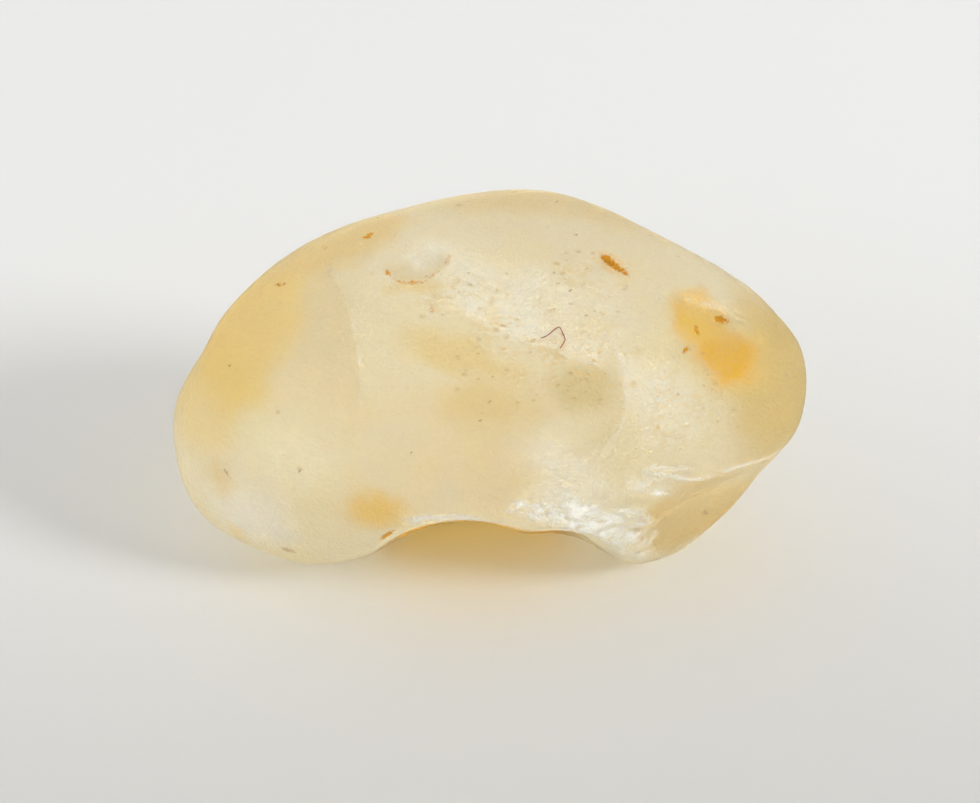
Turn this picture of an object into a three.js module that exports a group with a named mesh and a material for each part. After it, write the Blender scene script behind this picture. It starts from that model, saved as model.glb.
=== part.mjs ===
// A waterworn rough sapphire: one kidney-shaped pebble of pale yellow corundum, resting on the flats worn
// into its two feet and its belly. Units are millimetres. +X runs along the stone and +Z is up, and the
// origin lies on the surface that the stone rests on, below the middle of its box.
import * as THREE from "three";
import { mergeVertices } from "three/addons/utils/BufferGeometryUtils.js";

// Driving dimensions.
const LENGTH = 14.0;
const FACE_WIDTH = 8.3;
const CENTRE_HEIGHT = 3.85;
const CENTRE_BACK = 0.2;
const FACE_LEAN = THREE.MathUtils.degToRad(36);
const FRONT_DEPTH = 3.6;
const BACK_DEPTH = 3.75;
const FULLNESS = 2.3;
const FACETING = 21;

// The stone's broad face leans back by FACE_LEAN. Its own axes are across, up the face and into the stone.
const ACROSS = new THREE.Vector3(1, 0, 0);
const UP_FACE = new THREE.Vector3(0, Math.sin(FACE_LEAN), Math.cos(FACE_LEAN));
const INWARD = new THREE.Vector3(0, Math.cos(FACE_LEAN), -Math.sin(FACE_LEAN));
const CENTRE = new THREE.Vector3(0, CENTRE_BACK, CENTRE_HEIGHT);

// A point's distances from the stone's centre: across, up the face and inward. Every triple of numbers
// below is in this order.
function faceAxes(point) {
  const local = point.clone().sub(CENTRE);
  return new THREE.Vector3(local.dot(ACROSS), local.dot(UP_FACE), local.dot(INWARD));
}

// The outline of the broad face, anticlockwise from its right end: across and up. Its foot is closed
// straight across, because the arch between the feet is cut out afterwards.
const OUTLINE = [
  [7.0, -0.15], [6.88, 0.65], [6.3, 1.45], [5.6, 2.08], [4.0, 2.98], [2.4, 3.8], [1.55, 4.1], [0.6, 4.18],
  [-0.85, 3.95], [-2.5, 3.53], [-3.3, 3.25], [-4.15, 2.8], [-4.95, 2.18], [-5.65, 1.45], [-6.3, 0.5],
  [-6.87, -0.5], [-7.0, -1.25], [-6.75, -2.35], [-6.2, -3.15], [-5.6, -3.55], [-4.85, -3.88], [-3.95, -4.14],
  [-3.3, -4.17], [-2.0, -4.2], [0.0, -4.25], [2.2, -4.2], [3.5, -4.1], [4.3, -3.84], [5.25, -3.03],
  [5.95, -2.15], [6.78, -1.2],
];

// The outline's radius at any angle, read from a closed spline through its points.
const OUTLINE_STEPS = 1440;
const rims = new THREE.CatmullRomCurve3(
  OUTLINE.map(([across, up]) => new THREE.Vector3(across, up, 0)),
  true,
  "centripetal",
)
  .getSpacedPoints(OUTLINE_STEPS)
  .map((p) => ({ angle: Math.atan2(p.y, p.x), radius: Math.hypot(p.x, p.y) }))
  .sort((a, b) => a.angle - b.angle);

function outlineRadius(angle) {
  let low = 0;
  let high = rims.length - 1;
  if (angle <= rims[low].angle || angle >= rims[high].angle) return rims[low].radius;
  while (high - low > 1) {
    const middle = (low + high) >> 1;
    if (rims[middle].angle > angle) high = middle;
    else low = middle;
  }
  const share = (angle - rims[low].angle) / (rims[high].angle - rims[low].angle);
  return THREE.MathUtils.lerp(rims[low].radius, rims[high].radius, share);
}

// The plain oval that the outline turns into away from the rim, between two shares of the depth.
const OUTLINE_UNTIL = 0.1;
const OVAL_FROM = 0.8;
const ovalRadius = (angle) =>
  1 / Math.hypot(Math.cos(angle) / (LENGTH / 2), Math.sin(angle) / (FACE_WIDTH / 2));

// How far a point lies outside the plain pebble: the outline swelled to its depth in front and behind.
function pebble({ x: across, y: up, z: inward }) {
  const angle = Math.atan2(up, across);
  const deep = Math.abs(inward) / (inward < 0 ? FRONT_DEPTH : BACK_DEPTH);
  const away = THREE.MathUtils.smoothstep(deep, OUTLINE_UNTIL, OVAL_FROM);
  const radius = THREE.MathUtils.lerp(outlineRadius(angle), ovalRadius(angle), away);
  const flat = Math.hypot(across, up) / radius;
  const distance = Math.hypot(across, up, inward);
  return distance - distance / (flat ** FULLNESS + deep ** FULLNESS) ** (1 / FULLNESS);
}

// The larger of two distances, with the edge between them worn round over a width.
function wornEdge(a, b, width) {
  const blend = Math.max(width - Math.abs(a - b), 0) / width;
  return Math.max(a, b) + (blend * blend * width) / 4;
}

// Flats: broad faces that the stone is worn to, all slightly crowned. Each has its middle, the way that it
// faces and how widely its edge is rounded.
const CROWN_RADIUS = 30;
const FLATS = [
  { name: "upper face", at: [0.5, 1.6, -2.8], faces: [0.1, 0.42, -1], wear: 0.4 },
  { name: "lower face", at: [0.0, -1.4, -3.1], faces: [0.06, -0.06, -1], wear: 0.5 },
  { name: "right of the face", at: [4.6, 0.2, -2.35], faces: [0.45, 0.05, -1], wear: 0.6 },
  { name: "left lobe", at: [-4.4, -0.3, -2.4], faces: [-0.42, -0.04, -1], wear: 0.2 },
  { name: "left end", at: [-6.55, -1.2, -1.15], faces: [-0.8, -0.1, -0.7], wear: 0.7 },
  { name: "top of the back", at: [0.6, 2.9, 2.05], faces: [0.1, 1, 0.8], wear: 1.0 },
  { name: "left of the back", at: [-4.0, 0.0, 2.65], faces: [-0.6, 0.1, 1], wear: 0.8 },
  { name: "right of the back", at: [3.6, 0.4, 2.85], faces: [0.5, 0.3, 1], wear: 0.8 },
  { name: "middle of the back", at: [0.3, -0.6, 3.4], faces: [-0.05, -0.2, 1], wear: 0.8 },
];

// Swells and dents: soft humps laid on the stone, or sunk into it where the height is below nought. Each
// has its middle and its three spreads.
const SWELLS = [
  { name: "lip above the arch", at: [0.2, -2.4, -2.4], spread: [2.4, 0.6, 1.5], height: 0.12 },
  { name: "left lobe's belly", at: [-4.6, -1.6, -2.4], spread: [1.3, 1.1, 1.2], height: 0.14 },
  { name: "dip behind the left lobe", at: [-2.6, 1.6, 3.2], spread: [1.6, 1.2, 1.5], height: -0.2 },
  { name: "belly", at: [0.4, -2.6, 2.9], spread: [1.6, 1.2, 1.0], height: 0.12 },
  { name: "gap behind the left foot", at: [-1.9, -3.3, 2.1], spread: [0.7, 1.0, 1.0], height: -0.18 },
  { name: "gap behind the right foot", at: [2.5, -3.25, 2.3], spread: [0.6, 1.0, 1.0], height: -0.16 },
];

// The arch between the feet: balls cut from under the stone, each with its middle, its three radii and how
// widely its edge is rounded.
const ARCH = [
  { name: "left shoulder", at: [-2.6, -5.95, -0.4], radii: [1.7, 1.95, 4.0], wear: 0.4 },
  { name: "crown", at: [-0.5, -5.0, -0.6], radii: [2.3, 2.08, 4.5], wear: 0.3 },
  { name: "right end", at: [1.4, -5.15, -0.6], radii: [1.6, 2.0, 3.8], wear: 0.3 },
];

// Scoops: shallow dishes that chips have left, placed by across and up on the front or the back. Each has
// the reach from its middle to its edge, how far it is drawn out along the stone, its depth and how widely
// its edge is rounded.
const SCOOPS = [
  { name: "trough", across: 0.3, up: -0.2, reach: 1.2, drawn: 2.4, depth: 0.24, wear: 0.3 },
  { name: "end of the trough", across: 2.15, up: -0.6, reach: 0.9, drawn: 1, depth: 0.13, wear: 0.08 },
  { name: "below the right ridge", across: 5.1, up: -3.0, reach: 0.85, drawn: 1.5, depth: 0.16, wear: 0.06 },
  { name: "knock above the face", across: -1.4, up: 2.6, reach: 0.5, drawn: 1.7, depth: 0.06, wear: 0.04 },
  { name: "pit at the right end", across: 5.15, up: 1.2, reach: 0.4, drawn: 1.2, depth: 0.07, wear: 0.05 },
  { name: "chip at the arch", across: 1.5, up: -3.0, reach: 0.45, drawn: 1.5, depth: 0.09, wear: 0.04 },
  { name: "chip at the right foot", across: 3.0, up: -3.4, reach: 0.5, drawn: 1.2, depth: 0.1, wear: 0.04 },
  { name: "hollow behind", across: -1.4, up: 0.7, back: true, reach: 1.5, drawn: 1.5, depth: 0.24, wear: 0.3 },
  { name: "old chip behind", across: 2.6, up: 1.9, back: true, reach: 1.0, drawn: 1.6, depth: 0.18, wear: 0.12 },
  { name: "knock behind", across: -4.6, up: -0.9, back: true, reach: 0.6, drawn: 1, depth: 0.09, wear: 0.06 },
  { name: "dish behind", across: 3.9, up: -1.2, back: true, reach: 1.1, drawn: 1.2, depth: 0.16, wear: 0.15 },
];

// How far a point lies outside a ball with three radii.
function outsideBall(local, centre, radii) {
  const share = local.clone().sub(centre).divide(radii);
  const scale = share.length();
  return (scale * (scale - 1)) / share.divide(radii).length();
}

// The lists' triples as vectors.
const vector = (triple) => new THREE.Vector3(...triple);
const flats = FLATS.map(({ at, faces, wear }) => {
  const centre = vector(at).addScaledVector(vector(faces).normalize(), -CROWN_RADIUS);
  return { centre, wear };
});
const swells = SWELLS.map(({ at, spread, height }) => ({ at: vector(at), spread: vector(spread), height }));
const arch = ARCH.map(({ at, radii, wear }) => ({ at: vector(at), radii: vector(radii), wear }));

// How far a point lies outside the stone before its scoops.
function unchipped(local) {
  let distance = pebble(local);
  for (const { centre, wear } of flats) {
    distance = wornEdge(distance, local.distanceTo(centre) - CROWN_RADIUS, wear);
  }
  for (const { at, spread, height } of swells) {
    distance -= height * Math.exp(-local.clone().sub(at).divide(spread).lengthSq());
  }
  for (const { at, radii, wear } of arch) {
    distance = wornEdge(distance, -outsideBall(local, at, radii), wear);
  }
  return distance;
}

// Where a march along a ray comes to the end of the stretch that a test holds for.
const MARCH = 0.08;
const HALVINGS = 24;
function marchTo(at, holds) {
  let far = MARCH;
  while (holds(at(far))) far += MARCH;
  let near = far - MARCH;
  for (let i = 0; i < HALVINGS; i += 1) {
    const middle = (near + far) / 2;
    if (holds(at(middle))) near = middle;
    else far = middle;
  }
  return at(near);
}

// Each scoop as the ball that fits its reach and depth, standing on the surface where it was placed.
const SLOPE_STEP = 0.05;
const scoops = SCOOPS.map(({ across, up, back, reach, drawn, depth, wear }) => {
  const side = back ? 1 : -1;
  const clear = side * (FRONT_DEPTH + BACK_DEPTH);
  const inFrom = (distance) => new THREE.Vector3(across, up, clear - side * distance);
  const foot = marchTo(inFrom, (local) => unchipped(local) > 0);
  const slope = (x, y, z) => unchipped(foot.clone().add(new THREE.Vector3(x, y, z))) - unchipped(foot);
  const outward = new THREE.Vector3(slope(SLOPE_STEP, 0, 0), slope(0, SLOPE_STEP, 0), slope(0, 0, SLOPE_STEP));
  const radius = (reach * reach + depth * depth) / (2 * depth);
  const centre = foot.addScaledVector(outward.normalize(), radius - depth);
  return { centre, radii: new THREE.Vector3(radius * drawn, radius, radius), wear };
});

// How far a point lies outside the stone. It is negative inside.
function outside(point) {
  const local = faceAxes(point);
  let distance = unchipped(local);
  for (const { centre, radii, wear } of scoops) {
    distance = wornEdge(distance, -outsideBall(local, centre, radii), wear);
  }
  return Math.max(distance, -point.z);
}

// The stone as one faceted solid: an icosphere's points, each moved out along its ray to the surface.
function stoneGeometry() {
  const sphere = new THREE.IcosahedronGeometry(1, FACETING);
  sphere.deleteAttribute("normal");
  sphere.deleteAttribute("uv");
  const geometry = mergeVertices(sphere);
  const position = geometry.attributes.position;
  const stretch = new THREE.Vector3(LENGTH, FRONT_DEPTH + BACK_DEPTH, 2 * CENTRE_HEIGHT);
  for (let i = 0; i < position.count; i += 1) {
    const ray = new THREE.Vector3().fromBufferAttribute(position, i).multiply(stretch).normalize();
    const outFrom = (distance) => CENTRE.clone().addScaledVector(ray, distance);
    const point = marchTo(outFrom, (reached) => outside(reached) < 0);
    position.setXYZ(i, point.x, point.y, Math.max(point.z, 0));
  }
  return geometry;
}

const corundum = new THREE.MeshStandardMaterial({ color: 0xe6d9b4, roughness: 0.5, metalness: 0 });
const sapphire = new THREE.Mesh(stoneGeometry(), corundum);
sapphire.name = "rough_sapphire";

const part = new THREE.Group();
part.add(sapphire);

export default part;
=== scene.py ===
import math

import bmesh
import bpy
import numpy as np
from mathutils import Matrix, Vector
from mathutils.bvhtree import BVHTree


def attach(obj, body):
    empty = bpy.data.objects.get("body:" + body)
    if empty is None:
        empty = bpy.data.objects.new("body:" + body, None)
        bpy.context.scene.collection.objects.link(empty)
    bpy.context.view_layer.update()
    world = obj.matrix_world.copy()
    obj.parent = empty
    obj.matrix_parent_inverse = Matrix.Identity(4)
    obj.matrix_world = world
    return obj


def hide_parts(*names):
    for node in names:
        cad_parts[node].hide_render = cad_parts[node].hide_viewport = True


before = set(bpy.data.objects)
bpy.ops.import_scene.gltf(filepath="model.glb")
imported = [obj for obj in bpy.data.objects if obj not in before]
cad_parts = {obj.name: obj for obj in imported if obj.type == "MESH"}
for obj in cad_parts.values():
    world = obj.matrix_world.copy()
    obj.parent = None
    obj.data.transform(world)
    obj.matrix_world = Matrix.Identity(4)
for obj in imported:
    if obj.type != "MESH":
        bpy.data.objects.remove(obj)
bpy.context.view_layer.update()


# ---------------------------------------------------------------- the stone
# A pebble of pale yellow corundum. It grew as one crystal, broke out of its rock, and a river wore it
# round: the skin is frosted by knocks, chipped at the arch and right foot, and stained by iron.

# Sizes are in millimetres along the stone's own axes: across, up the broad face, and out of that face,
# which leans back. IN_PLACE turns such a point into one of the frame, in metres.
MM = 0.001
FACE_LEAN = math.radians(36)
CENTRE = Vector((0, 0.2, 3.85))
FACE_TURN = math.pi / 2 - FACE_LEAN
IN_PLACE = Matrix.Scale(MM, 4) @ Matrix.Translation(CENTRE) @ Matrix.Rotation(FACE_TURN, 4, "X")

# The solid's loose corners are merged within the first length. The skin's faces are of the second length,
# fine enough for its chips, and they are eased a few times.
MERGE_WITHIN = 1e-6
SKIN_MESH = 0.066
EASING_ROUNDS = 3


def even_skin():
    """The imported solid, rounded and covered with one even skin of small faces."""
    solid = bmesh.new()
    solid.from_mesh(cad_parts["rough_sapphire"].data)
    bmesh.ops.remove_doubles(solid, verts=solid.verts, dist=MERGE_WITHIN)
    bmesh.ops.transform(solid, matrix=IN_PLACE.inverted(), verts=solid.verts)
    mesh = bpy.data.meshes.new("sapphire")
    solid.to_mesh(mesh)
    solid.free()
    stone = bpy.data.objects.new("sapphire", mesh)
    bpy.context.scene.collection.objects.link(stone)
    rounding = stone.modifiers.new("rounding", "SUBSURF")
    rounding.levels = rounding.render_levels = 1
    covering = stone.modifiers.new("covering", "REMESH")
    covering.mode = "VOXEL"
    covering.voxel_size = SKIN_MESH
    easing = stone.modifiers.new("easing", "SMOOTH")
    easing.iterations = EASING_ROUNDS
    return stone


def made_plain(piece):
    """Turns a piece and its modifiers into a plain mesh."""
    bpy.context.view_layer.update()
    finished = piece.evaluated_get(bpy.context.evaluated_depsgraph_get())
    mesh = bpy.data.meshes.new_from_object(finished)
    piece.modifiers.clear()
    piece.data = mesh
    mesh.shade_smooth()
    return piece


def points_and_normals(mesh):
    """A mesh's points and the way that the skin faces at each."""
    points = np.zeros(3 * len(mesh.vertices), np.float32)
    normals = np.zeros(3 * len(mesh.vertices), np.float32)
    mesh.vertices.foreach_get("co", points)
    mesh.vertices.foreach_get("normal", normals)
    return points.reshape(-1, 3).astype(float), normals.reshape(-1, 3).astype(float)


def push_out(mesh, heights):
    """Moves each point of a skin out by its height, or in where that is below nought."""
    points, normals = points_and_normals(mesh)
    mesh.vertices.foreach_set("co", (points + normals * heights[:, None]).astype(np.float32).ravel())
    mesh.update()


def smooth(share):
    """A share from 0 to 1 with its ends eased."""
    share = np.clip(share, 0, 1)
    return share * share * (3 - 2 * share)


CURVE_STEPS = 8


def curve_through(path):
    """A smooth line through a path's points."""
    knots = np.array([path[0], *path, path[-1]], float)
    line = []
    for a, b, c, d in zip(knots, knots[1:], knots[2:], knots[3:]):
        for t in np.arange(CURVE_STEPS) / CURVE_STEPS:
            bend = (2 * a - 5 * b + 4 * c - d) * t**2 + (3 * b - a - 3 * c + d) * t**3
            line.append(b + 0.5 * ((c - a) * t + bend))
    return np.array([*line, knots[-1]])


def beside(places, path):
    """Each place's distance from a path, the share of the path passed by there, and its side of it."""
    line = curve_through(path)
    nearest = np.full(len(places), np.inf)
    passed = np.zeros(len(places))
    side = np.zeros(len(places))
    for i, (start, end) in enumerate(zip(line, line[1:])):
        step = end - start
        share = np.clip((places - start) @ step / (step @ step), 0, 1)
        gap = places - start - share[:, None] * step
        distance = np.hypot(gap[:, 0], gap[:, 1])
        closer = distance < nearest
        nearest[closer] = distance[closer]
        passed[closer] = (i + share[closer]) / (len(line) - 1)
        side[closer] = np.sign(step[0] * gap[:, 1] - step[1] * gap[:, 0])[closer]
    return nearest, passed, side


def tapered(passed, ends=0.2):
    """1 along a path, falling to 0 over its first and last stretch."""
    return smooth(np.minimum(passed, 1 - passed) / ends)


def inside_oval(places, at, reach, turn):
    """How deep each place lies in an oval: 1 at its middle and 0 from its rim on."""
    gap = places - at
    along = gap[:, 0] * math.cos(turn) + gap[:, 1] * math.sin(turn)
    over = gap[:, 1] * math.cos(turn) - gap[:, 0] * math.sin(turn)
    return np.clip(1 - np.hypot(along / reach[0], over / reach[1]), 0, 1)


# Crests: sharp lines where two flats meet, or where a flake has come away. Each has its side of the
# stone, its path across that side, how far the skin falls on its left and on its right, the width of
# that fall, and how white its line is worn.
FRONT, BACK = 1, -1
CRESTS = [
    # The ridge left of the middle, and a fainter one outside it.
    (FRONT, [(-3.42, 2.45), (-3.2, 1.99), (-2.98, 1.46), (-2.79, 0.65), (-2.72, -0.09), (-2.8, -0.93)],
     0.01, 0.05, 0.35, 0.4),
    (FRONT, [(-4.5, 1.84), (-4.76, 1.2), (-4.83, 0.55)], 0.01, 0.01, 0.4, 0.0),
    # The ledge above the right foot, and two short steps under it.
    (FRONT, [(3.1, -1.95), (3.66, -2.1), (4.54, -2.22), (5.2, -2.01), (6.24, -1.7), (6.8, -1.3)],
     0.02, 0.07, 0.3, 0.95),
    (FRONT, [(3.3, -1.9), (3.9, -1.98), (4.5, -1.98)], 0.02, 0.02, 0.08, 0.8),
    (FRONT, [(3.5, -2.5), (3.9, -2.55), (4.3, -2.55)], 0.015, 0.015, 0.08, 0.6),
    # The curved edge of a scar right of the middle.
    (FRONT, [(2.6, 0.8), (2.84, 0.3), (2.93, -0.4), (2.84, -0.93), (2.6, -1.4), (2.2, -1.75)],
     0.0, 0.035, 0.25, 0.55),
    # The ledge over the orange patch.
    (FRONT, [(3.75, 1.85), (4.33, 1.63), (4.81, 1.51), (5.31, 1.3), (5.86, 1.0)], 0.01, 0.035, 0.15, 0.4),
    # The rim of the shallow dish near the top.
    (FRONT, [(-0.77, 2.7), (-0.81, 2.43), (-1.02, 2.21), (-1.33, 2.04), (-1.76, 2.01), (-2.12, 2.21),
             (-2.2, 2.5)], 0.005, 0.06, 0.22, 0.0),
    # Worn flats on the back.
    (BACK, [(-3.8, 2.2), (-3.2, 1.0), (-3.1, -0.2), (-3.5, -1.4)], 0.05, 0.01, 0.4, 0.5),
    (BACK, [(0.4, 2.7), (1.6, 1.5), (3.1, 0.9), (4.6, 1.0)], 0.01, 0.06, 0.4, 0.5),
    (BACK, [(1.2, 2.4), (2.3, 1.2), (3.6, 1.3), (4.2, 2.0)], 0.04, 0.0, 0.4, 0.5),
    (BACK, [(-5.6, -0.4), (-4.9, -1.1), (-4.0, -1.5)], 0.03, 0.0, 0.3, 0.5),
]

# Cracks: fine grooves that reach into the stone. Each has its side, its path, its depth and width.
CRACKS = [
    (FRONT, [(2.3, 2.66), (2.5, 2.49), (2.68, 2.38), (2.98, 2.16)], 0.08, 0.06),
    (FRONT, [(-2.12, 2.21), (-1.76, 1.99), (-1.33, 2.02), (-1.02, 2.18)], 0.03, 0.05),
    (FRONT, [(4.85, 1.28), (5.05, 1.2), (5.25, 1.16)], 0.06, 0.07),
    (BACK, [(-1.8, -1.2), (-1.1, -1.7), (-0.3, -1.8)], 0.05, 0.05),
    (BACK, [(4.9, -0.2), (5.3, -0.8), (5.2, -1.4)], 0.05, 0.05),
]

# Crumbled patches: ovals where small shells of crystal have flaked off. Each has its side of the stone, its
# middle, its two reaches, its turn, the shells' size, their depth, and how white they are. The shells are
# DRAWN_OUT along the patch, LIP makes some of them smaller, and they fade towards the patch's rim.
CRUMBLED = [
    # Along the right half of the arch and down the right foot.
    (FRONT, (1.05, -2.85), (0.85, 0.28), -0.1, 0.16, 0.04, 0.55),
    (FRONT, (2.2, -3.2), (1.1, 0.5), -0.45, 0.17, 0.05, 0.5),
    (FRONT, (3.1, -3.4), (0.8, 0.7), -0.5, 0.19, 0.042, 0.42),
    # Beside the two ledges, and on the back.
    (FRONT, (3.5, -2.4), (1.0, 0.25), 0.08, 0.24, 0.012, 0.15),
    (FRONT, (4.8, 1.5), (0.8, 0.16), -0.35, 0.12, 0.03, 0.2),
    (BACK, (1.6, -2.9), (0.9, 0.4), 0.3, 0.2, 0.05, 0.4),
]
DRAWN_OUT = 2.6
LIP = 0.5
PATCH_FADE = 0.35
CHIP_SEED = 11

# How wide the bruised line along a crest is, how great a fall counts as wholly sunk, and how soon a side's
# marks fade where the skin turns away towards the rim.
WORN_WIDTH = 0.038
SUNK_DEEP = 0.05
RIM_FADE = 0.2


def on_side(side, points, normals):
    """How fully each point belongs to the front or the back: 1 on it, and 0 past the rim."""
    return smooth(side * normals[:, 2] / RIM_FADE) * (side * points[:, 2] > 0)


def worked_over(mesh):
    """How far crests, cracks and flakes lift or lower each point, and how worn, sunk and chipped it is."""
    points, normals = points_and_normals(mesh)
    places = points[:, :2]
    facing = {side: on_side(side, points, normals) for side in (FRONT, BACK)}
    heights = np.zeros(len(points))
    worn = np.zeros(len(points))
    sunk = np.zeros(len(points))
    chipped = np.zeros(len(points))
    for side, path, left, right, width, wear in CRESTS:
        distance, passed, hand = beside(places, path)
        held = facing[side] * tapered(passed)
        drop = held * np.where(hand > 0, left, right)
        heights -= drop * distance / width * np.exp(1 - distance / width)
        sunk += drop * np.exp(-distance / width / 2) / SUNK_DEEP
        worn = np.maximum(worn, wear * held * np.exp(-distance / WORN_WIDTH))
    for side, path, depth, width in CRACKS:
        distance, passed, _ = beside(places, path)
        heights -= facing[side] * tapered(passed) * depth * np.exp(-(distance / width) ** 2)
    chance = np.random.default_rng(CHIP_SEED)
    for side, at, reach, turn, size, depth, white in CRUMBLED:
        patch = inside_oval(places, at, reach, turn)
        near = np.flatnonzero((patch > 0) & (facing[side] > 0))
        along = Matrix.Rotation(-turn, 3, "Z")
        drawn = points[near] @ np.array(along).T / (DRAWN_OUT, 1, 1)
        count = int(math.pi * reach[0] * reach[1] / DRAWN_OUT / size**2)
        shells = drawn[chance.choice(len(near), count)]
        lips = chance.uniform(0, LIP, len(shells))
        away = np.linalg.norm(drawn[:, None] - shells[None], axis=2) / size + lips
        bites = 1 - np.clip(away.min(axis=1), 0, 1)
        held = facing[side][near] * smooth(patch[near] / PATCH_FADE)
        heights[near] -= held * depth * bites
        chipped[near] = np.maximum(chipped[near], white * held * (1 - bites))
    return heights, {"worn": worn, "sunk": sunk, "chipped": chipped}


def keep(mesh, kept):
    """Keeps named numbers with each point of a mesh."""
    for name, values in kept.items():
        mesh.attributes.new(name, "FLOAT", "POINT").data.foreach_set("value", values.astype(np.float32))


class Shade:
    """A socket of a node tree, with which node maths is written as Python sums."""

    def __init__(self, tree, socket=None):
        self.tree = tree
        self.socket = socket

    def add(self, kind, settings=None, inputs=None, out=0):
        """Any node: its type, its settings, and its sockets' values or links. Gives one of its outputs."""
        made = self.tree.nodes.new(kind)
        for name, value in (settings or {}).items():
            setattr(made, name, value)
        for name, value in (inputs or {}).items():
            if isinstance(value, Shade):
                self.tree.links.new(value.socket, made.inputs[name])
            else:
                made.inputs[name].default_value = value
        return Shade(self.tree, made.outputs[out] if made.outputs else None)

    def math(self, operation, other):
        """This number and another, joined by an operation of the Math node."""
        return self.add("ShaderNodeMath", {"operation": operation}, {0: self, 1: other})

    def vector(self, operation, other):
        """This vector and another, joined by an operation of the Vector Math node."""
        return self.add("ShaderNodeVectorMath", {"operation": operation}, {0: self, 1: other})

    def __add__(self, other):
        return self.math("ADD", other)

    def __sub__(self, other):
        return self.math("SUBTRACT", other)

    def __rsub__(self, other):
        return self * -1 + other

    def __mul__(self, other):
        return self.math("MULTIPLY", other)

    def __lt__(self, other):
        return self.math("LESS_THAN", other)

    def __gt__(self, other):
        return self.math("GREATER_THAN", other)

    __radd__ = __add__
    __rmul__ = __mul__

    def at_most(self, most):
        return self.math("MINIMUM", most)

    def at_least(self, least):
        return self.math("MAXIMUM", least)

    def eased(self, low, high):
        """0 where this is at its low value or past it, 1 at the high one, and a smooth run between."""
        return self.add("ShaderNodeMapRange", {"interpolation_type": "SMOOTHSTEP"},
                        {"Value": self, "From Min": low, "From Max": high})

    def elsewhere(self, seed):
        """The place moved by a seed, so that the same noise isn't met twice."""
        return self.vector("ADD", (seed, seed, seed)) if seed else self

    def noise(self, size, detail=2.0, seed=0.0, out="Fac"):
        """Cloudy noise about a place, from 0 to 1, whose lumps are of a size."""
        return self.add("ShaderNodeTexNoise", {}, {
            "Vector": self.elsewhere(seed), "Scale": 1 / size, "Detail": detail,
        }, out=out)

    def cells(self, size, seed=0.0):
        """Cells about a place: the distance from the nearest one's middle, as a share of their size."""
        return self.add("ShaderNodeTexVoronoi", {}, {"Vector": self.elsewhere(seed), "Scale": 1 / size})

    def beside_it(self, out):
        """Another output of the node that made this one."""
        return Shade(self.tree, self.socket.node.outputs[out])

    def scaled(self, by):
        """This vector made longer by a number."""
        return self.add("ShaderNodeVectorMath", {"operation": "SCALE"}, {0: self, "Scale": by})

    def part(self, letter):
        """A vector's X, Y or Z."""
        return self.add("ShaderNodeSeparateXYZ", {}, {"Vector": self}, out=letter)


# Where other stones have struck the skin: how far apart the pits lie, how wide they are, and the share of
# places that have one.
PIT_SPACING = 0.5
PIT_REACH = 0.15
PIT_SHARE = 0.2


def pits(place, seed):
    """How deep a place lies in a pit: 1 at its bottom and 0 outside it."""
    cell = place.cells(PIT_SPACING, seed)
    deep = (1 - cell * (PIT_SPACING / PIT_REACH)).eased(0.0, 1.0)
    return deep * (cell.beside_it("Color").part("X") < PIT_SHARE)


def oval(place, at, reach, turn=0.0, firm=0.3):
    """1 in the middle of an oval around a point of the skin, fading to 0 at its rim."""
    gap = place.vector("SUBTRACT", at)
    along = gap.add("ShaderNodeVectorRotate", {"rotation_type": "Z_AXIS"}, {"Vector": gap, "Angle": -turn})
    share = along.vector("DIVIDE", reach)
    away = share.add("ShaderNodeVectorMath", {"operation": "LENGTH"}, {0: share}, out="Value")
    return away.eased(1.0, firm)


def mixed(sheet, share, colour, other):
    """Two colours mixed by a share of the second."""
    return sheet.add("ShaderNodeMix", {"data_type": "RGBA"}, {0: share, 6: colour, 7: other}, out=2)


def added(masks):
    """The sum of several masks."""
    total = masks[0]
    for mask in masks[1:]:
        total = total + mask
    return total


def strayed(place, far, size, seed, detail):
    """The place, strayed by noise, so that what is drawn there has an uneven rim."""
    wander = place.noise(size, detail, seed, "Color").vector("SUBTRACT", (0.5, 0.5, 0.5))
    return place.vector("ADD", wander.scaled(far))


def tint(red, green, blue):
    """A colour as it shows, from 0 to 255, as the light that a shader takes."""
    shown = np.array([red, green, blue]) / 255
    light = np.where(shown <= 0.04045, shown / 12.92, ((shown + 0.055) / 1.055) ** 2.4)
    return (*light.tolist(), 1.0)


# The colours of the crystal and its skin. Pale and cream drift into each other, and the sunk skin beside
# crests takes a darker yellowish tint that is painted shade.
PALE = tint(255, 253, 240)
CREAM = tint(255, 248, 222)
SUNK_SHADE = tint(232, 220, 186)
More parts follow.
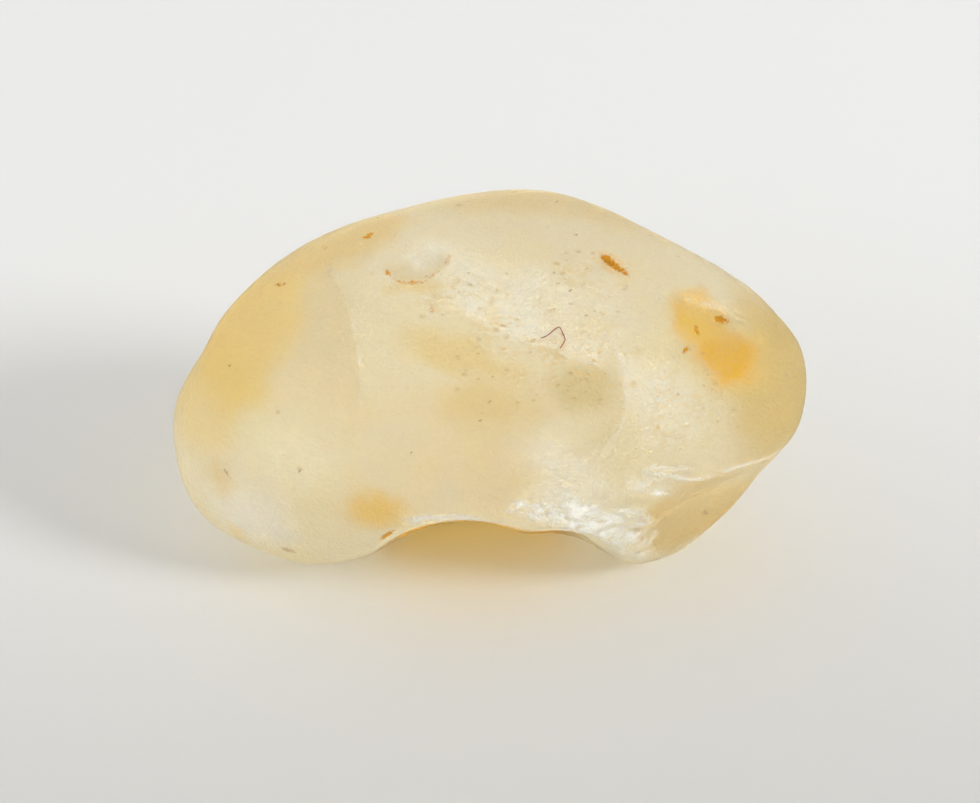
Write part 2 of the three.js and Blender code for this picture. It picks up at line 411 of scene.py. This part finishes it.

# Broad tints, painted one over the other; some of them are painted shade or painted glow, as marked below.
# Each has a colour, its strength, an oval's middle, three reaches and turn, and how far out the oval keeps
# its full strength, as a share of its reach.
TINTS_AND_PAINTED_LIGHT = [
    # The golden band down the left end, and below it a pale glow that is painted light, standing for light
    # that passes through the crystal and out at this end.
    (tint(255, 229, 140), 0.95, (-5.1, 1.2, 2.0), (2.8, 1.5, 2.6), 1.0, 0.5),
    (tint(242, 217, 152), 0.9, (-3.3, 2.8, 1.9), (2.2, 0.85, 1.6), 0.46, 0.4),
    (tint(255, 229, 132), 0.95, (-5.9, -0.3, 1.6), (1.7, 1.5, 2.4), 0.1, 0.3),
    (tint(255, 238, 182), 0.9, (-6.3, -0.9, 1.4), (1.0, 1.4, 2.2), 0.1, 0.1),
    (tint(255, 250, 214), 0.9, (-4.5, -1.6, 2.5), (2.0, 0.9, 1.8), -0.5, 0.1),
    (tint(255, 255, 250), 1.0, (-5.3, -3.1, 1.6), (1.5, 0.8, 1.8), -0.55, 0.2),
    (tint(244, 220, 164), 0.7, (-5.75, -2.2, 1.4), (0.5, 0.7, 1.0), 0.3, 0.1),
    # Grey beside the left ridge, painted shade on its side turned from the window, and cream further out.
    (tint(238, 232, 204), 0.6, (-3.45, 0.8, 2.9), (0.7, 1.9, 1.4), -0.12, 0.5),
    (tint(255, 252, 232), 0.7, (-3.8, -0.3, 2.7), (1.0, 1.0, 1.4), 0.3, 0.1),
    # Tan and olive across the middle of the face, painted shade: in the hollow under the bright upper face,
    # in the scoop left of the scar's edge, and under the dish's rim.
    (tint(244, 226, 164), 0.9, (-0.7, 0.42, 3.0), (1.9, 0.5, 1.2), -0.25, 0.3),
    (tint(244, 226, 166), 0.8, (-0.1, -0.6, 3.0), (2.2, 0.8, 1.4), 0.0, 0.1),
    (tint(220, 210, 160), 0.9, (2.0, -0.3, 2.8), (0.95, 0.75, 1.2), -0.1, 0.3),
    (tint(244, 222, 156), 0.8, (-1.5, 1.9, 2.8), (1.0, 0.25, 0.8), 0.05, 0.2),
    # Tan at the right end and along the top, partly their colour and partly painted shade where the end
    # faces the window and the top rim turns away, and tan on the right foot.
    (tint(228, 200, 120), 1.0, (6.1, -0.1, 1.2), (1.95, 2.9, 2.4), 0.1, 0.38),
    (tint(240, 220, 168), 0.7, (1.0, 3.8, 1.4), (5.5, 0.8, 1.6), -0.1, 0.1),
    (tint(242, 212, 142), 1.0, (4.65, -2.95, 1.3), (1.75, 0.92, 2.6), 0.32, 0.7),
    (tint(240, 212, 150), 0.8, (3.7, -3.6, 0.8), (0.9, 0.5, 1.4), -0.4, 0.3),
    # The orange patch on the right.
    (tint(255, 224, 130), 0.8, (4.9, 0.5, 2.0), (1.5, 1.3, 1.4), -0.3, 0.1),
    (tint(255, 202, 20), 1.0, (4.55, 1.2, 2.1), (1.0, 0.78, 1.3), -0.75, 0.45),
    (tint(255, 198, 40), 0.9, (4.85, 0.85, 2.1), (0.7, 0.55, 1.2), -0.6, 0.4),
    (tint(255, 212, 90), 0.8, (5.35, 0.3, 2.0), (1.4, 0.95, 1.3), -0.3, 0.2),
    (tint(255, 184, 0), 1.0, (5.1, 0.4, 2.05), (1.05, 0.7, 1.2), -0.3, 0.4),
    # Orange and gold by the arch, round the crack and on the left foot, and under the arch painted golden
    # light, as cast by light that has passed through the stone.
    (tint(250, 210, 84), 0.9, (-2.38, -2.87, 2.6), (1.0, 0.7, 1.2), 0.0, 0.2),
    (tint(255, 206, 110), 0.7, (2.65, 2.4, 2.14), (0.6, 0.25, 0.8), -0.62, 0.1),
    (tint(255, 196, 30), 1.0, (-0.3, -3.4, -1.0), (2.6, 1.4, 2.8), 0.0, 0.6),
    (tint(255, 186, 40), 0.9, (0.1, -3.4, 1.8), (1.1, 0.4, 1.4), 0.0, 0.4),
    (tint(255, 218, 130), 0.7, (-5.5, -3.3, 0.6), (0.5, 0.2, 0.8), -0.8, 0.1),
    # The back.
    (tint(250, 222, 150), 0.6, (1.5, 1.0, -3.0), (2.0, 1.2, 1.6), 0.3, 0.1),
    (tint(255, 206, 80), 0.9, (-3.2, 0.4, -2.9), (0.8, 0.6, 1.2), 0.4, 0.1),
    (tint(250, 206, 110), 0.8, (4.3, -1.8, -1.9), (0.7, 0.5, 1.2), 0.0, 0.1),
    (tint(240, 216, 150), 0.8, (-0.4, -0.8, -3.2), (2.2, 0.9, 1.8), 0.3, 0.3),
    (tint(236, 206, 132), 0.9, (-5.6, 0.8, -1.4), (1.2, 1.8, 1.8), 0.2, 0.3),
]

# Small rusty and brown stains in pits and cracks. Each has its strength, its middle, its two reaches and
# its turn, and all reach MARK_DEEP into the skin.
MARK_DEEP = 0.5
RUSTY = [
    (1.5, (2.55, 2.5, 2.14), (0.26, 0.13), -0.7), (1.5, (2.72, 2.35, 2.14), (0.32, 0.11), -0.62),
    (1.2, (2.92, 2.22, 2.15), (0.2, 0.08), -0.6), (1.2, (-2.56, 3.0, 2.18), (0.22, 0.08), 0.5),
    (1.2, (5.03, 1.21, 1.82), (0.28, 0.14), -0.3), (1.0, (4.22, 0.56, 2.3), (0.15, 0.09), 0.6),
    (0.9, (4.47, 0.99, 2.16), (0.1, 0.22), 0.2), (0.9, (-2.13, 2.19, 2.67), (0.16, 0.09), -0.7),
    (0.8, (-1.6, 1.98, 2.75), (0.5, 0.06), 0.05), (0.7, (-0.85, 2.5, 2.5), (0.05, 0.24), -0.5),
    (0.7, (-1.95, 2.05, 2.7), (0.25, 0.06), -0.5), (0.6, (-1.15, 2.14, 2.7), (0.3, 0.05), 0.6),
    (0.9, (-1.18, 1.39, 2.95), (0.14, 0.07), -0.6), (0.5, (-0.95, 1.29, 2.97), (0.1, 0.05), 0.2),
    (0.9, (-2.2, -3.44, 2.0), (0.32, 0.06), 0.5), (0.9, (-2.1, -3.34, 2.1), (0.3, 0.05), 0.5),
    (1.0, (-4.41, 1.97, 2.34), (0.24, 0.06), 0.2), (0.5, (4.79, -0.29, 2.19), (0.07, 0.06), 0.0),
    (0.5, (-3.5, 2.75, 2.2), (0.1, 0.08), 0.3), (1.0, (0.6, 1.6, -2.9), (0.3, 0.07), 0.4),
    (0.9, (-1.1, -1.65, -3.2), (0.4, 0.07), -0.3), (0.9, (5.25, -0.7, -1.4), (0.1, 0.3), 0.1),
    (0.8, (-4.2, 1.1, -2.3), (0.12, 0.07), 0.6), (0.4, (-4.34, -3.76, 1.06), (0.35, 0.14), -0.2),
]
BROWN = [
    (1.2, (2.62, 2.42, 2.14), (0.24, 0.035), -0.55), (1.0, (2.55, 2.54, 2.14), (0.1, 0.03), -0.9),
    (0.5, (-4.34, -3.76, 1.06), (0.3, 0.12), -0.2), (0.9, (-2.4, 3.42, 1.8), (0.26, 0.04), 0.2),
    (0.9, (-5.54, 0.22, 1.86), (0.06, 0.08), 0.0), (0.7, (-1.6, -1.61, 3.1), (0.07, 0.05), -0.4),
    (0.7, (1.27, 3.2, 1.98), (0.06, 0.05), 0.0), (0.7, (1.49, 3.77, 1.48), (0.09, 0.05), 0.0),
    (0.7, (1.87, 3.03, 1.98), (0.08, 0.05), 0.0), (0.7, (1.43, 2.2, 2.43), (0.05, 0.05), 0.0),
    (0.9, (1.74, 1.83, 2.54), (0.05, 0.05), 0.0), (0.9, (2.1, 1.27, 2.68), (0.07, 0.05), 0.0),
    (0.9, (0.04, -0.55, 2.89), (0.06, 0.06), 0.0), (0.9, (-0.17, -0.93, 2.96), (0.05, 0.05), 0.0),
    (0.8, (4.77, -2.97, 0.26), (0.14, 0.12), 0.3), (0.7, (4.15, 0.5, 2.3), (0.04, 0.12), 0.2),
    (0.9, (5.0, 1.25, 1.82), (0.08, 0.06), -0.3), (1.0, (-5.6, -2.1, 1.5), (0.24, 0.06), -0.9),
    (0.7, (-4.0, -2.0, 2.5), (0.05, 0.05), 0.0),
]

# White frost, where the skin is bruised and chipped, and a few painted highlights and glints. Each has the
# share of frost that it adds, or takes off where the skin is clearer, and an oval's middle, three reaches
# and turn.
FROST_ALL_OVER = 0.22
FROST_AND_PAINTED_GLINTS = [
    # The white band across the face, from the dish to the right foot.
    (0.30, (0.5, 1.75, 2.5), (3.3, 1.3, 1.6), -0.2),
    (0.16, (3.5, -0.1, 2.5), (1.0, 0.9, 1.2), -0.5),
    (0.12, (3.8, -1.0, 2.4), (1.0, 1.3, 1.2), 0.1),
    (0.22, (1.8, 0.7, 2.8), (1.9, 0.5, 1.0), -0.3),
    (0.15, (0.1, 1.25, 2.9), (1.6, 0.4, 1.0), -0.3),
    # The crumbled edge of the arch, the right foot, the dish, the ledge and the left foot.
    (0.30, (1.6, -2.8, 2.7), (1.6, 0.5, 1.2), -0.35),
    (0.25, (2.8, -3.2, 2.0), (1.1, 0.7, 1.4), -0.55),
    (0.30, (3.4, -2.3, 2.3), (1.0, 0.5, 1.2), 0.0),
    (0.25, (1.6, -2.0, 2.8), (1.6, 0.8, 1.2), -0.5),
    (0.22, (-1.25, 2.6, 2.4), (0.8, 0.42, 0.9), 0.5),
    (0.20, (4.6, 1.6, 1.9), (1.0, 0.2, 0.6), -0.38),
    (0.24, (-5.0, -3.0, 1.7), (1.6, 0.8, 1.6), -0.5),
    (0.22, (-4.5, -1.6, 2.5), (2.1, 1.1, 1.8), -0.5),
    # The thin white lip of the arch, frost with a painted highlight along its lit edge, and single tiny
    # chips painted white as glints.
    (0.60, (-0.9, -3.02, 2.5), (1.8, 0.12, 0.7), 0.04),
    (0.60, (-3.36, 2.26, 2.55), (0.05, 0.16, 0.4), 0.1),
    (0.60, (5.86, 0.59, 1.66), (0.05, 0.06, 0.4), 0.0),
    (0.60, (6.42, -0.01, 1.35), (0.05, 0.05, 0.4), 0.0),
    (0.50, (4.45, 1.42, 2.05), (0.07, 0.04, 0.4), 0.0),
    # The back.
    (0.35, (1.2, 1.0, -2.9), (2.8, 1.3, 2.0), 0.3),
    (0.30, (-3.4, -0.6, -2.4), (1.8, 1.2, 2.0), -0.4),
    (0.40, (1.6, -2.9, -2.0), (1.0, 0.5, 1.4), 0.3),
    # Clearer skin at the left end, on the orange patch, under the arch and on the right foot.
    (-0.15, (-6.0, 0.3, 1.5), (2.6, 3.4, 3.0), 0.0),
    (-0.28, (4.9, 0.5, 2.1), (1.3, 1.1, 1.2), -0.3),
    (-0.30, (-0.3, -3.9, -0.2), (3.0, 1.2, 3.4), 0.0),
    (-0.22, (4.65, -2.95, 1.3), (1.65, 0.85, 2.6), 0.32),
]

# Where fine dark specks crowd together: ovals' middles and three reaches.
SPECKLED = [
    ((1.2, 0.6, 2.8), (2.6, 1.4, 1.2)),
    ((3.9, -0.6, 2.2), (1.6, 1.7, 1.4)),
    ((2.4, 0.3, 2.7), (1.4, 0.9, 1.2)),
    ((-0.6, 1.6, 2.8), (1.6, 1.2, 1.2)),
    ((2.4, 2.2, 2.2), (1.4, 0.9, 1.2)),
    ((1.4, 0.4, -2.8), (3.0, 1.8, 2.0)),
    ((-3.6, -0.4, -2.4), (1.6, 1.4, 2.0)),
]


# Ovals that reach further than this are broad.
BROAD = 1.0


def knocked_skin(material):
    """A node tree that works over a skin, with slow swells, a fine grain and pits where stones struck,
    and that keeps with each point its tint, which holds painted shade and glow as well as colour, and its
    shares of frost, rust, brown and specks."""
    tree = bpy.data.node_groups.new("knocked_skin", "GeometryNodeTree")
    tree.interface.new_socket("Skin", in_out="OUTPUT", socket_type="NodeSocketGeometry")
    tree.interface.new_socket("Skin", in_out="INPUT", socket_type="NodeSocketGeometry")
    for name in ("Swell height", "Ripple height", "Grain height", "Pit depth"):
        tree.interface.new_socket(name, in_out="INPUT", socket_type="NodeSocketFloat")
    sheet = Shade(tree)
    given = tree.nodes.new("NodeGroupInput").outputs
    inputs = {socket.name: Shade(tree, socket) for socket in given if socket.name}
    worn, sunk, chipped = (sheet.add("GeometryNodeInputNamedAttribute", {}, {"Name": name})
                           for name in ("worn", "sunk", "chipped"))

    # Strayed places give a broad oval a cloudy rim, a small one a ragged rim and a mark a rough rim.
    place = sheet.add("GeometryNodeInputPosition")
    cloudy = strayed(place, far=1.0, size=1.1, seed=5.0, detail=5.0)
    ragged = strayed(place, far=0.45, size=0.35, seed=6.0, detail=5.0)
    rough = strayed(place, far=0.1, size=0.12, seed=7.0, detail=3.0)

    def blurred(at, reach, turn, firm):
        """An oval with a cloudy rim where it is broad, and with a ragged one where it is small."""
        return oval(cloudy if max(reach[:2]) > BROAD else ragged, at, reach, turn, firm)

    def marked(marks):
        """How strongly small marks show at a place."""
        return added([oval(rough, at, (*reach, MARK_DEEP), turn, 0.0) * strength
                      for strength, at, reach, turn in marks])

    colour = mixed(sheet, place.noise(size=2.2, detail=2.0, seed=10.0).eased(0.4, 0.65), PALE, CREAM)
    # Tints laid one over the other; some of them are painted shade and painted glow.
    for paint, strength, at, reach, turn, firm in TINTS_AND_PAINTED_LIGHT:
        colour = mixed(sheet, blurred(at, reach, turn, firm) * strength, colour, paint)
    # Painted shade: sunk skin beside the crests is tinted darker, as the shade of each step.
    colour = mixed(sheet, sunk.at_most(1.0) * 0.6, colour, SUNK_SHADE)

    # Frost is patchy everywhere, and broken up into small bits where the skin is worn or chipped.
    patchy = 0.55 + 0.9 * place.noise(size=0.6, detail=4.0, seed=8.0)
    broken = place.noise(size=0.16, detail=3.0, seed=9.0).eased(0.35, 0.65)
    frost = (FROST_ALL_OVER * patchy + (0.5 + 0.4 * broken) * worn - 0.1 * sunk
             + (0.1 + 1.1 * broken) * chipped)
    for share, at, reach, turn in FROST_AND_PAINTED_GLINTS:
        frost = frost + blurred(at, reach, turn, 0.2) * (patchy * 0.75 + broken * 0.3) * share
    rust = marked(RUSTY)
    brown = marked(BROWN)
    clustered = place.noise(size=0.5, detail=3.0, seed=12.0).eased(0.38, 0.58)
    specks = added([oval(cloudy, at, reach) for at, reach in SPECKLED]) * clustered
    kept = {
        "tint": ("FLOAT_COLOR", colour),
        "frost": ("FLOAT", frost),
        "rust": ("FLOAT", rust),
        "brown": ("FLOAT", brown),
        "specks": ("FLOAT", specks),
    }
    skin = inputs["Skin"]
    for name, (kind, value) in kept.items():
        skin = skin.add("GeometryNodeStoreNamedAttribute", {"data_type": kind, "domain": "POINT"},
                        {"Geometry": skin, "Name": name, "Value": value})

    # Frosted and speckled skin is rougher than the rest.
    roughened = 1 + 1.8 * (frost - FROST_ALL_OVER).at_least(0.0) + 0.2 * specks
    swells = (place.noise(size=1.5, detail=1.0, seed=1.0) - 0.5) * inputs["Swell height"]
    ripples = (place.noise(size=0.5, detail=2.0, seed=2.0) - 0.5) * inputs["Ripple height"]
    grain = (place.noise(size=0.14, detail=3.0, seed=4.0) - 0.5) * roughened * inputs["Grain height"]
    height = swells + ripples + grain - pits(place, seed=3.0) * inputs["Pit depth"]
    lift = sheet.add("GeometryNodeInputNormal").scaled(height)
    moved = sheet.add("GeometryNodeSetPosition", {}, {"Geometry": skin, "Offset": lift})
    whole = sheet.add("GeometryNodeRealizeInstances", {}, {"Geometry": moved})
    dressed = sheet.add("GeometryNodeSetMaterial", {}, {"Geometry": whole, "Material": material})
    sheet.add("NodeGroupOutput", {}, {"Skin": dressed})
    return tree


def set_inputs(modifier, values):
    """Sets a node modifier's inputs, which are found by their sockets' identifiers."""
    for item in modifier.node_group.interface.items_tree:
        if item.name in values and item.in_out == "INPUT":
            modifier[item.identifier] = values[item.name]


# The colours of the skin's finest marks, of its frost, and of the sheen on its tiny facets. INSIDE is the
# colour that the crystal gives to light, and ABSORPTION is how strongly it does so.
MOTTLED = tint(238, 216, 164)
SPECK = tint(202, 172, 104)
RUST = tint(204, 141, 18)
UMBER = tint(150, 112, 40)
CHALK = tint(230, 229, 222)
SHADED = tint(150, 142, 112)
BRUISED = tint(246, 244, 236)
SHEEN = tint(255, 238, 190)
INSIDE = tint(255, 240, 174)
ABSORPTION = 38.0
CORUNDUM_IOR = 1.77
FROST_IOR = 1.35
FROST_DEPTH = 0.25

# The sizes of what is finer than the skin's mesh. The mottle and the specks are drawn out along the stone.
GRAIN = 0.06
MOTTLE = 0.09
SPECK_SPACING = 0.14
BUMP_HEIGHT = 0.03
DRAWN_TURN = 0.4
DRAWN_SCALE = (0.55, 1, 1)


def frosted_corundum():
    """Pale yellow corundum, clear inside, under a skin of white frost, rusty stains and dark specks."""
    material = bpy.data.materials.new("frosted_corundum")
    material.use_nodes = True
    tree = material.node_tree
    tree.nodes.clear()
    sheet = Shade(tree)
    kept = {name: sheet.add("ShaderNodeAttribute", {"attribute_name": name}, out="Fac")
            for name in ("frost", "rust", "brown", "specks")}
    # The kept tint is the stone's colour, with painted shade and painted glow in places.
    kept_tint_and_painted_light = sheet.add("ShaderNodeAttribute", {"attribute_name": "tint"}, out="Color")
    here = sheet.add("ShaderNodeTexCoord", out="Object")
    place = sheet.add("ShaderNodeMapping", {}, {"Vector": here, "Scale": (1 / MM, 1 / MM, 1 / MM)})
    drawn = sheet.add("ShaderNodeMapping", {}, {
        "Vector": place, "Rotation": (0, 0, DRAWN_TURN), "Scale": DRAWN_SCALE,
    })
    grain = place.noise(GRAIN, detail=3.0)
    mottle = drawn.noise(MOTTLE, detail=4.0)

    # Stains, broken up by the grain.
    ragged = 1 + (grain - 0.5) * 3.0
    rust = (kept["rust"] * ragged).eased(0.1, 0.85)
    brown = (kept["brown"] * ragged).eased(0.1, 0.6)

    # Scattered spots: some are dark specks, most of them where those crowd, and some are raised flecks.
    cell = drawn.cells(SPECK_SPACING)
    chance = cell.beside_it("Color").part("X")
    spots = (1 - cell * (2.2 + 4 * chance)).eased(0.0, 0.8)
    crowd = kept["specks"] * mottle.eased(0.3, 0.6)
    specks = spots * (chance < 0.002 + 1.6 * crowd)
    flecks = spots * (chance > 0.8)

    def stained(colour):
        """A colour with the stains and specks that lie over it."""
        rusty = mixed(sheet, rust, colour, RUST)
        browned = mixed(sheet, brown * 0.6, rusty, UMBER)
        return mixed(sheet, specks * 0.5, browned, SPECK)

    # The crystal's colour, and the frost's, which is chalkier where it is thick and whitest where bruised.
    mottled = (mottle.eased(0.62, 0.42) - 0.25).at_least(0.0) * (0.1 + kept["specks"]) * 0.6
    clear = mixed(sheet, mottled, kept_tint_and_painted_light, MOTTLED)
    chalky = mixed(sheet, kept["frost"].eased(0.2, 0.7) * 0.7, clear, CHALK)
    shaded = mixed(sheet, 0.15, chalky, SHADED)
    white = mixed(sheet, kept["frost"].eased(0.6, 1.1) * 0.7, shaded, BRUISED)

    height = grain * 1.1 + mottle * 1.1 + flecks * 0.6 - specks
    bumpy = sheet.add("ShaderNodeBump", {}, {"Height": height, "Distance": BUMP_HEIGHT * MM})
    crystal = sheet.add("ShaderNodeBsdfPrincipled", {}, {
        "Base Color": stained(clear), "Roughness": 0.85, "IOR": CORUNDUM_IOR, "Transmission Weight": 1.0,
        "Specular IOR Level": 0.4, "Normal": bumpy,
        "Sheen Weight": 0.6, "Sheen Roughness": 0.3, "Sheen Tint": SHEEN,
    })
    frost = sheet.add("ShaderNodeBsdfPrincipled", {}, {
        "Base Color": stained(white), "Roughness": 0.75, "IOR": FROST_IOR, "Normal": bumpy,
        "Subsurface Weight": 1.0, "Subsurface Radius": (1.0, 0.9, 0.7), "Subsurface Scale": FROST_DEPTH * MM,
        "Sheen Weight": 0.3, "Sheen Roughness": 0.3, "Sheen Tint": SHEEN,
    })
    cloudy = (kept["frost"] + (mottle - 0.5) * (0.3 + 0.4 * kept["specks"])
              + (grain - 0.5) * (0.4 + 0.3 * kept["specks"])
              + 0.25 * flecks + 0.7 * rust + 0.3 * brown + 0.15 * specks)
    skin = sheet.add("ShaderNodeMixShader", {}, {0: cloudy.eased(0.0, 1.0), 1: crystal, 2: frost})
    body = sheet.add("ShaderNodeVolumeAbsorption", {}, {"Color": INSIDE, "Density": ABSORPTION})
    sheet.add("ShaderNodeOutputMaterial", {}, {"Surface": skin, "Volume": body})
    return material


stone = made_plain(even_skin())
lifts, wear = worked_over(stone.data)
push_out(stone.data, lifts)
keep(stone.data, wear)
knocks = stone.modifiers.new("knocks", "NODES")
knocks.node_group = knocked_skin(frosted_corundum())
set_inputs(knocks, {
    "Swell height": 0.05, "Ripple height": 0.022, "Grain height": 0.014, "Pit depth": 0.028,
})
made_plain(stone)
stone.data.transform(IN_PLACE)
for point in stone.data.vertices:
    point.co.z = max(point.co.z, 0)
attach(stone, "root")
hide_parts("rough_sapphire")


# ---------------------------------------------------------------- the lint
# A single dark red fibre of lint, shed by a cloth. It is a thin round thread of cotton with two kinks,
# and it clings to the stone's broad face, a hair's breadth off it.

LINT_RADIUS = 0.01
LINT_LIFT = 0.02
LINT_PATH = [
    (1.12, 0.8, 2.9), (1.25, 0.85, 2.9), (1.48, 1.03, 2.85), (1.55, 0.98, 2.86), (1.63, 0.78, 2.87),
    (1.6, 0.7, 2.88), (1.53, 0.59, 2.89),
]


def dark_red_cotton():
    """Matt cotton of a dark red."""
    cotton = bpy.data.materials.new("dark_red_cotton")
    cotton.use_nodes = True
    tree = cotton.node_tree
    tree.nodes.clear()
    sheet = Shade(tree)
    thread = sheet.add("ShaderNodeBsdfPrincipled", {}, {"Base Color": tint(140, 34, 30), "Roughness": 0.8})
    sheet.add("ShaderNodeOutputMaterial", {}, {"Surface": thread})
    return cotton


def thread_along(name, path, radius):
    """A thin round thread along a smooth line through a path's points, in metres."""
    line = bpy.data.curves.new(name, "CURVE")
    line.dimensions = "3D"
    line.bevel_depth = radius
    line.bevel_resolution = 1
    line.use_fill_caps = True
    places = curve_through(path)
    spline = line.splines.new("POLY")
    spline.points.add(len(places) - 1)
    for point, place in zip(spline.points, places):
        point.co = (*place, 1)
    drawn = bpy.data.objects.new(name, line)
    bpy.context.scene.collection.objects.link(drawn)
    bpy.context.view_layer.update()
    mesh = bpy.data.meshes.new_from_object(drawn)
    bpy.data.objects.remove(drawn)
    thread = bpy.data.objects.new(name, mesh)
    bpy.context.scene.collection.objects.link(thread)
    thread.data.shade_smooth()
    return thread


skin_below = BVHTree.FromObject(stone, bpy.context.evaluated_depsgraph_get())
resting = []
for spot in LINT_PATH:
    ground, outward, _, _ = skin_below.find_nearest(IN_PLACE @ Vector(spot))
    resting.append(ground + outward * (LINT_RADIUS + LINT_LIFT) * MM)
lint = thread_along("lint", resting, LINT_RADIUS * MM)
lint.data.materials.append(dark_red_cotton())
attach(lint, "root")


# ---------------------------------------------------------------- the table
# A plain white card that the stone lies on. It isn't part of the object. It is one flat square, so much
# wider than the stone that its edges aren't seen.

# The card's colour runs darker from CARD_FAR to CARD_NEAR, towards the camera: painted shade where the light
# falls off.
TABLE_HALF = 500 * MM
CARD_NEAR = -25 * MM
CARD_FAR = 15 * MM


def white_card_with_painted_shade():
    """White card that greys a little towards the near side of the table: painted shade where the light falls
    off.
    """
    card = bpy.data.materials.new("white_card_with_painted_shade")
    card.use_nodes = True
    tree = card.node_tree
    tree.nodes.clear()
    sheet = Shade(tree)
    here = sheet.add("ShaderNodeTexCoord", out="Object")
    back = here.part("Y")
    colour = mixed(sheet, back.eased(CARD_NEAR, CARD_FAR), tint(190, 189, 185), tint(228, 228, 226))
    paper = sheet.add("ShaderNodeBsdfPrincipled", {}, {"Base Color": colour, "Roughness": 0.85})
    sheet.add("ShaderNodeOutputMaterial", {}, {"Surface": paper})
    return card


table_mesh = bpy.data.meshes.new("table_top")
corners = [(-1, -1), (1, -1), (1, 1), (-1, 1)]
table_mesh.from_pydata([(x * TABLE_HALF, y * TABLE_HALF, 0) for x, y in corners], [], [(0, 1, 2, 3)])
table_mesh.materials.append(white_card_with_painted_shade())
table_top = bpy.data.objects.new("table_top", table_mesh)
bpy.context.scene.collection.objects.link(table_top)


# ---------------------------------------------------------------- the light and the camera
# Plain soft studio light: a white room, brighter low down and to the left, and one round window to the
# right of the stone. The camera looks straight at the broad face.

ROOM_ABOVE = 0.565
ROOM_LOW = 0.75
ROOM_LEFT = 2.9

world = bpy.data.worlds.new("room")
bpy.context.scene.world = world
world.use_nodes = True
world.node_tree.nodes.clear()
walls = Shade(world.node_tree)
way = walls.add("ShaderNodeTexCoord", out="Generated")
level = 1 - way.part("Z")
leftward = (way.part("X") * -1).at_least(0.0)
glow = walls.add("ShaderNodeBackground", {}, {
    "Color": (1, 1, 1, 1), "Strength": ROOM_ABOVE + (ROOM_LOW + ROOM_LEFT * leftward) * level * level,
})
walls.add("ShaderNodeOutputWorld", {}, {"Surface": glow})

WINDOW_ROUND = math.radians(-23)
WINDOW_UP = math.radians(30)
WINDOW_AWAY = 0.4
WINDOW_SIZE = 0.12
WINDOW_WATTS = 0.86

light = bpy.data.lights.new("window", "AREA")
light.shape = "DISK"
light.size = WINDOW_SIZE
light.energy = WINDOW_WATTS
window = bpy.data.objects.new("window", light)
bpy.context.scene.collection.objects.link(window)
towards = Vector((math.cos(WINDOW_ROUND), math.sin(WINDOW_ROUND), math.tan(WINDOW_UP))).normalized()
turned = towards.to_track_quat("Z", "Y").to_matrix().to_4x4()
window.matrix_world = Matrix.Translation(towards * WINDOW_AWAY) @ turned

CAMERA_AWAY = 72.0
AIM = Vector((0.044, -0.54, 0.0))
lens = bpy.data.cameras.new("camera")
lens.lens = 120
lens.sensor_width = 36
lens.clip_start = 5 * MM
camera = bpy.data.objects.new("camera", lens)
bpy.context.scene.collection.objects.link(camera)
eye = IN_PLACE @ (AIM + Vector((0, 0, CAMERA_AWAY)))
camera.matrix_world = Matrix.Translation(eye) @ Matrix.Rotation(FACE_TURN, 4, "X")
bpy.context.scene.camera = camera
bpy.context.scene.view_settings.view_transform = "Standard"
